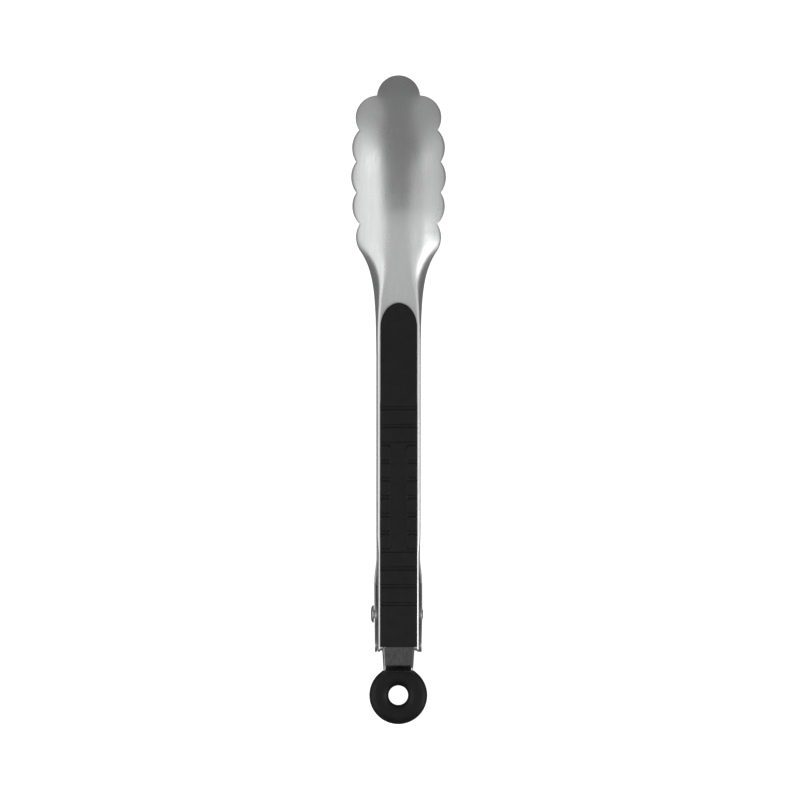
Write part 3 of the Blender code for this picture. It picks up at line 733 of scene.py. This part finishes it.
def grip_height(x, y, lands):
    """Height of the skin's face: crowned lands with grooves and a lower panel between them."""
    crown = blend(RIDGE_CROWN, PAD_CROWN, smooth_step(*RIDGE_END, y)) * (x / GRIP_HALF)**2
    away = min(land_distance(x, y, land) for land in lands)
    floor = smooth_step(-GROOVE_SLOPE / 3, GROOVE_SLOPE, away)
    first = GROOVE_FIRST - GROOVE_PITCH * PANEL_GROOVES[0]
    last = GROOVE_FIRST - GROOVE_PITCH * PANEL_GROOVES[1]
    middle, reach = (first + last) / 2, (first - last) / 2 + GROOVE_WIDTH / 2
    panel_out = math.hypot(x, max(abs(y - middle) - reach + PANEL_HALF, 0.0)) - PANEL_HALF
    depth = blend(PANEL_DROP, GROOVE_DEPTH, smooth_step(-PANEL_SLOPE, PANEL_SLOPE, panel_out))
    return GRIP_BACK - crown - depth * floor


def edge_drop(distance, radius):
    """How far a quarter-round rim falls at a distance in from the edge."""
    if distance >= radius:
        return 0.0
    return radius - math.sqrt(max(radius**2 - (radius - distance)**2, 0.0))


def grip_rows():
    """Places along the grip: close together at the grooves and at both ends."""
    ends = [GRIP_EDGE * (1 - math.cos(math.radians(a))) for a in range(0, 91, 15)]
    places = [GRIP_REAR + reach for reach in ends]
    steps = (-1.6, -1.25, -1.05, -0.85, -0.65, -0.4, 0.0, 0.4, 0.65, 0.85, 1.05, 1.25, 1.6)
    for n in range(GROOVE_COUNT):
        middle = GROOVE_FIRST - GROOVE_PITCH * (GROOVE_COUNT - 1 - n)
        places += [middle + step * MM for step in steps]
        if n < GROOVE_COUNT - 1:
            places += [middle + GROOVE_PITCH * share for share in (0.28, 0.36, 0.5, 0.64, 0.72)]
    straight = GRIP_FRONT - GRIP_DOME
    places += [blend(places[-1], straight, k / 14) for k in range(1, 15)]
    places += [straight + GRIP_DOME * math.sin(math.radians(a)) for a in range(4, 89, 4)]
    places += [straight + GRIP_DOME * math.sin(math.radians(a)) for a in (88.5, 89.3, 90.0)]
    return places


def grip_columns():
    """Where a row's points lie, as shares of its half width, from the rim to the middle."""
    rim = [GRIP_EDGE * (1 - math.cos(math.radians(a))) for a in range(0, 91, 15)]
    inner = [7.2, 6.4, 5.6, 5.1, 4.8, 4.5, 4.25, 4.0, 3.7, 2.8, 1.4, 0.0]
    return [1.0 - d / GRIP_HALF for d in rim] + [x * MM / GRIP_HALF for x in inner]


def skin_row(y, lands, columns):
    """One section of the skin's outside, from its lower left edge over the face to the right."""
    half = grip_half_width(y)
    face = []
    for share in [-c for c in columns] + list(reversed(columns[:-1])):
        x = share * half
        fall = max(edge_drop(half - abs(x), GRIP_EDGE), edge_drop(y - GRIP_REAR, GRIP_EDGE),
                   edge_drop(GRIP_FRONT - y, GRIP_EDGE))
        face.append((x, y, grip_height(x, y, lands) - fall))
    edge_x, _, edge_z = face[-1]
    wall = [(edge_x, y, blend(GRIP_LOW, edge_z, k / 3)) for k in range(3)]
    return [(-x, y, z) for x, y, z in wall] + face + list(reversed(wall))


def make_skin(side, matrix):
    """The soft sleeve, closed all round, with a pocket underneath for the carrier."""
    lands = grip_lands()
    columns = grip_columns()
    rows = [skin_row(y, lands, columns) for y in grip_rows()]
    bm = grid_bmesh(rows, wrap=True)
    bm.faces.new(list(bm.verts)[:len(rows[0])])      # the flat rear wall
    skin = new_object(side + "_grip_sleeve", finish_mesh(side + "_grip_sleeve", bm, 60.0), matrix)
    cut(skin, plate_bmesh(core_outline(GAP), GRIP_LOW - MM, CORE_TOP + GAP))
    settle(skin, side + "_arm", SKIN_RUBBER, "grip_rubber", side + "_grip_skin")


def core_outline(grow):
    """The carrier's outline, straight with a domed front, grown by a little."""
    half, rear = CORE_HALF + grow, GRIP_REAR + CORE_INSET - grow
    dome = GRIP_DOME - (CORE_INSET - grow) / 2
    straight = GRIP_FRONT - CORE_INSET + grow - dome
    outline = [(half, rear)]
    for i in range(49):
        angle = math.pi * i / 48
        outline.append((half * math.cos(angle), straight + dome * math.sin(angle)))
    return outline + [(-half, rear)]


def plate_bmesh(outline, low, high):
    """A flat plate of an outline."""
    bm = bmesh.new()
    face = bm.faces.new([bm.verts.new((x, y, low)) for x, y in outline])
    grown = bmesh.ops.extrude_face_region(bm, geom=[face])["geom"]
    top = [item for item in grown if isinstance(item, bmesh.types.BMVert)]
    bmesh.ops.translate(bm, verts=top, vec=(0.0, 0.0, high - low))
    return bm


def make_core(side, matrix):
    """The hard carrier under the skin, with its pegs through the web."""
    plate = plate_bmesh(core_outline(0.0), GRIP_LOW, CORE_TOP)
    core = new_object(side + "_grip_carrier", finish_mesh(side + "_grip_carrier", plate), matrix)
    low, high = PEG_HEAD
    root = GRIP_LOW + PEG_ROOT
    corners = [(0.0, root), (PEG_RADIUS, root), (PEG_RADIUS, high), (PEG_HEAD_RADIUS, high),
               (PEG_HEAD_RADIUS, low), (0.0, low - PEG_HEAD_DOME)]
    for y in PEGS:
        cut(core, lathe_bmesh(rounded_profile(corners, PEG_ROUND), 40),
            Matrix.Translation((0.0, y, 0.0)), 'UNION')
    settle(core, side + "_arm", CORE_NYLON, "core_nylon", side + "_grip_core")


# ---- pivot ----

def make_rivet():
    """Domed head with a pressed dimple at -X, a low swaged tail at +X."""
    head = -RIVET_SEAT - RIVET_HEAD_HEIGHT
    rim = -RIVET_SEAT - RIVET_RIM
    brow = RIVET_HEAD_RADIUS - RIVET_HEAD_INSET
    profile = [(out * MM, RIVET_SEAT + up * MM) for out, up in RIVET_TAIL]
    profile += [(SHAFT_RADIUS, RIVET_SEAT), (SHAFT_RADIUS, -RIVET_SEAT)]
    profile += [(RIVET_HEAD_RADIUS - into * MM, -RIVET_SEAT - past * MM)
                for into, past in RIVET_UNDER] + [(brow, rim)]
    for i in range(1, 11):
        angle = math.radians(9 * i)
        profile.append((blend(DIMPLE_RADIUS, brow, math.cos(angle)),
                        blend(rim, head, math.sin(angle))))
    profile += [(out * MM, head + down * MM) for out, down in RIVET_DIMPLE]
    rivet = new_object("rivet", finish_mesh("rivet", lathe_bmesh(profile), 40.0),
                       MIDDLE @ ACROSS)
    settle(rivet, "lower_arm", PIN_STEEL, "brushed_steel", "pivot_rivet")


def turned_ring(name, inner, outer, half, x, material, slot, node):
    """A tube or washer on the pivot's axis, half its length to each side of x."""
    corners = [(outer, 0.0), (outer, half), (inner, half), (inner, -half), (outer, -half),
               (outer, 0.0)]
    profile = rounded_profile(corners, TURNED_ROUND, 3)[:-1]
    mesh = finish_mesh(name, lathe_bmesh(profile, closed=True))
    made = new_object(name, mesh, MIDDLE @ Matrix.Translation((x, 0.0, 0.0)) @ ACROSS)
    settle(made, "spring_core", material, slot, node)


def wire_object(name, path, matrix, body):
    """Round wire along a path, with flat ends, as a mesh tube."""
    data = bpy.data.curves.new(name, 'CURVE')
    data.dimensions = '3D'
    data.bevel_depth = WIRE_RADIUS
    data.bevel_resolution = 6
    data.use_fill_caps = True
    line = data.splines.new('POLY')
    line.points.add(len(path) - 1)
    for point, place in zip(line.points, path):
        point.co = (*place, 1.0)
    obj = new_object(name, data, matrix)
    bpy.context.view_layer.update()
    seen = obj.evaluated_get(bpy.context.evaluated_depsgraph_get())
    bm = bmesh.new()
    bm.from_mesh(seen.to_mesh())
    bpy.data.objects.remove(obj, do_unlink=True)
    bpy.data.curves.remove(data)
    made = new_object(name, finish_mesh(name, bm, 50.0), matrix)
    settle(made, body, WIRE, "spring_steel", "torsion_spring")


def coil_point(angle, sweep, half_width):
    """Point of the coil's middle line at an angle, moving along X as it turns."""
    start = math.pi / 2 + LEG_RISE
    x = blend(-half_width, half_width, (angle - start) / sweep)
    return Vector((x, COIL_RADIUS * math.cos(angle), COIL_RADIUS * math.sin(angle)))


def make_spring():
    """The coil turns with the middle; each leg, with the coil's first stretch, stays on its arm."""
    sweep = math.pi - 2 * LEG_RISE + COIL_FULL_TURNS * 2 * math.pi
    half_width = COIL_PITCH * sweep / (4 * math.pi)
    start = math.pi / 2 + LEG_RISE
    hidden = OPEN_HALF + COIL_LAP
    turns = [blend(start + hidden, start + sweep - hidden, i / COIL_STEPS)
             for i in range(COIL_STEPS + 1)]
    wire_object("spring_coil", [coil_point(a, sweep, half_width) for a in turns], MIDDLE,
                "spring_core")
    for side, sign in (("upper", 1.0), ("lower", -1.0)):
        first = start if side == "upper" else start + sweep
        lap = [first + sign * k / 6 * (hidden + COIL_LAP) for k in range(7)]
        arc = [coil_point(a, sweep, half_width) for a in lap]
        reach = LEG_REACH / math.cos(LEG_RISE) - arc[0].y
        leg = Vector((0.0, math.cos(LEG_RISE), sign * math.sin(LEG_RISE))) * reach
        straight = [arc[0] + leg * share for share in (1.0, 0.66, 0.33)]
        wire_object("spring_leg_" + side, straight + arc, MIDDLE, side + "_arm")


# ---- lock ----

def tab_stations():
    """Places along the tab, from inside the ring to the fork's front end."""
    places = [TAB_REAR - TAB_EMBED]
    places += [blend(TAB_REAR, TAB_SLOPE_FRONT, k / 10) for k in range(11)]
    places += [blend(TAB_SLOPE_FRONT, TAB_CHEEK_REAR, k / 8) for k in range(1, 9)]
    return places + [0.0, 4.0 * MM, TAB_FRONT]


def make_tab():
    """A bent fork: two slotted cheeks round the sleeve and a web that slopes into the ring."""
    rows = []
    for y in tab_stations():
        top = straight_line(TAB_TOP_LINE, y)
        low = straight_line(TAB_LOW_LINE, y)
        bend = min(BEND, (top - low) * TAB_BEND_SHARE)
        side = straight_line(TAB_SIDE_LINE, y)
        right = [((side - TAB_BEND) * k / 5, top) for k in range(6)]
        for k in range(1, 13):
            t = k / 12
            right.append((side - TAB_BEND * (1 - t)**2, top - bend * t**2))
        right += [(side, blend(top - bend, low, k / 2)) for k in (1, 2)]
        rows.append([(-x, y, z) for x, z in reversed(right[1:])] + [(x, y, z) for x, z in right])
    tab = new_object("lock_tab_sheet", plain_mesh("lock_tab_sheet", grid_bmesh(rows)), MIDDLE)
    thicken(tab, TAB_SHEET)
    window = TAB_HALF - BEND / 2
    cut(tab, box_bmesh(-window, window, TAB_WEB_START, FAR, 0.0, FAR))
    cut(tab, box_bmesh(-FAR, FAR, TAB_FORK_REAR, FAR, TAB_FORK_TOP, FAR))
    rear = -(LOCK_TRAVEL + SLOT_HALF)
    outline = [(SLOT_HALF * math.sin(a), SLOT_HALF * math.cos(a))
               for a in (math.pi * (i / 24 - 0.5) for i in range(25))]
    outline += [(x, rear + SLOT_HALF - y) for x, y in reversed(outline)]
    cut(tab, plate_bmesh(outline, -FAR, FAR), ACROSS)
    round_edges(tab, TAB_ROUND)
    settle(tab, "lock", TAB_STEEL, "brushed_steel", "lock_tab")


def make_ring():
    """A thick moulded ring with a flat front that the tab runs into."""
    middle, half = (RING_RADIUS + RING_HOLE) / 2, (RING_RADIUS - RING_HOLE) / 2
    profile = []
    for i in range(48):
        angle = 2 * math.pi * i / 48
        c, s = math.cos(angle), math.sin(angle)
        profile.append((middle + half * math.copysign(abs(c)**(2 / RING_POWER), c),
                        RING_HALF * math.copysign(abs(s)**(2 / RING_POWER), s)))
    mesh = finish_mesh("pull_ring_moulding", lathe_bmesh(profile, 128, closed=True))
    ring = new_object("pull_ring_moulding", mesh, MIDDLE @ Matrix.Translation((0.0, RING_Y, 0.0)))
    flat = RING_FLAT - RING_Y
    shoulder = box_bmesh(-SHOULDER_HALF, SHOULDER_HALF, flat - SHOULDER_REAR, flat + 2 * MM,
                         -SHOULDER_DEEP, SHOULDER_DEEP)
    bmesh.ops.bevel(shoulder, geom=shoulder.edges[:], offset=SHOULDER_ROUND, segments=4,
                    affect='EDGES', profile=0.5)
    cut(ring, shoulder, operation='UNION')
    cut(ring, box_bmesh(-FAR, FAR, flat, flat + FAR, -FAR, FAR))
    side = straight_line(TAB_SIDE_LINE, TAB_REAR) + TAB_FIT
    low, top = straight_line(TAB_LOW_LINE, TAB_REAR), straight_line(TAB_TOP_LINE, TAB_REAR)
    rear = TAB_REAR - TAB_EMBED - TAB_FIT - RING_Y
    cut(ring, box_bmesh(-side, side, rear, flat + MM, low - TAB_FIT, top + TAB_FIT))
    round_edges(ring, RING_ROUND, 3, 40.0)
    settle(ring, "lock", RING_NYLON, "ring_nylon", "pull_ring")


# ---- stage ----

def camera_only(tree, shown, unseen):
    """Mix two shaders: one that the camera sees, one that lights the object."""
    path = tree.nodes.new("ShaderNodeLightPath")
    mix = tree.nodes.new("ShaderNodeMixShader")
    tree.links.new(path.outputs["Is Camera Ray"], mix.inputs["Fac"])
    tree.links.new(unseen, mix.inputs[1])
    tree.links.new(shown, mix.inputs[2])
    return mix.outputs["Shader"]


def make_floor():
    """Pale paper, overexposed as a product shot's is, that throws little light back."""
    shader = Shader("floor_paint", (0.92, 0.92, 0.92), 0.0, 0.6, Emission_Strength=FLOOR_GLOW)
    shader.main.inputs["Emission Color"].default_value = (1.0, 1.0, 1.0, 1.0)
    tone = shader.noise(6.0, 3.0)
    shader.set("Base Color", shader.mix(tone, (0.90, 0.90, 0.90), (0.93, 0.93, 0.93)))
    dull = shader.tree.nodes.new("ShaderNodeBsdfDiffuse")
    dull.inputs["Color"].default_value = (FLOOR_BOUNCE, FLOOR_BOUNCE, FLOOR_BOUNCE, 1.0)
    output = shader.tree.nodes["Material Output"]
    shader.link(camera_only(shader.tree, shader.main.outputs["BSDF"], dull.outputs["BSDF"]),
                output.inputs["Surface"])
    bm = bmesh.new()
    bmesh.ops.create_grid(bm, x_segments=1, y_segments=1, size=FLOOR_HALF)
    floor = new_object("floor", finish_mesh("floor", bm), Matrix.Translation((0, 0, -FLOOR_DROP)))
    floor.data.materials.append(shader.material)


def softbox(name, towards, lean, distance, size, radiance):
    """A softbox by its bearing (0 is +X, 90 is +Y), its angle from straight up, and brightness."""
    bearing, lean = math.radians(towards), math.radians(lean)
    out = Vector((math.sin(lean) * math.cos(bearing), math.sin(lean) * math.sin(bearing),
                  math.cos(lean)))
    light = bpy.data.lights.new(name, 'AREA')
    light.shape = 'RECTANGLE'
    light.size, light.size_y = size
    light.energy = math.pi * radiance * size[0] * size[1]
    lamp = new_object(name, light)
    side = Vector((-math.sin(bearing), math.cos(bearing), 0.0))
    turn = Matrix((side, out.cross(side), out)).transposed().to_4x4()
    lamp.matrix_world = Matrix.Translation(out * distance) @ turn


def make_lights():
    for name, *values in SOFTBOXES:
        softbox(name, *values)
    world = bpy.data.worlds.new("studio")
    bpy.context.scene.world = world
    world.use_nodes = True
    tree = world.node_tree
    dim = tree.nodes["Background"]
    dim.inputs["Color"].default_value = (1.0, 1.0, 1.0, 1.0)
    dim.inputs["Strength"].default_value = ROOM_GLOW
    pale = tree.nodes.new("ShaderNodeBackground")
    pale.inputs["Color"].default_value = (0.95, 0.95, 0.95, 1.0)
    tree.links.new(camera_only(tree, pale.outputs["Background"], dim.outputs["Background"]),
                   tree.nodes["World Output"].inputs["Surface"])


def make_camera():
    """Straight above, leaning a little to the left, and far away."""
    lean = math.radians(CAMERA_LEAN)
    data = bpy.data.cameras.new("camera")
    data.sensor_width = 36.0
    data.lens = data.sensor_width * CAMERA_DISTANCE / CAMERA_FIELD
    data.clip_start = 0.05
    data.clip_end = 20.0
    camera = new_object("camera", data)
    target = Vector(CAMERA_TARGET)
    back = Vector((-math.sin(lean), 0.0, math.cos(lean)))
    right = Vector((math.cos(lean), 0.0, math.sin(lean)))
    turn = Matrix((right, (0.0, 1.0, 0.0), back)).transposed().to_4x4()
    camera.matrix_world = Matrix.Translation(target + back * CAMERA_DISTANCE) @ turn
    bpy.context.scene.camera = camera


for arm_side, arm_matrix in (("lower", LOWER), ("upper", UPPER)):
    make_arm(arm_side, arm_matrix)
    make_core(arm_side, arm_matrix)
    make_skin(arm_side, arm_matrix)
make_rivet()
turned_ring("sleeve", SHAFT_RADIUS + GAP, SLEEVE_RADIUS, SLEEVE_HALF, 0.0, PIN_STEEL,
            "brushed_steel", "pivot_sleeve")
for washer_side, sign in (("left", -1), ("right", 1)):
    turned_ring("washer_" + washer_side, SLEEVE_RADIUS + GAP, WASHER_RADIUS, WASHER / 2,
                sign * (SLEEVE_HALF - WASHER / 2), WASHER_NYLON, "washer_nylon",
                "tab_washer_" + washer_side)
make_spring()
make_tab()
make_ring()
make_floor()
make_lights()
make_camera()
bpy.context.scene.view_settings.view_transform = 'Standard'
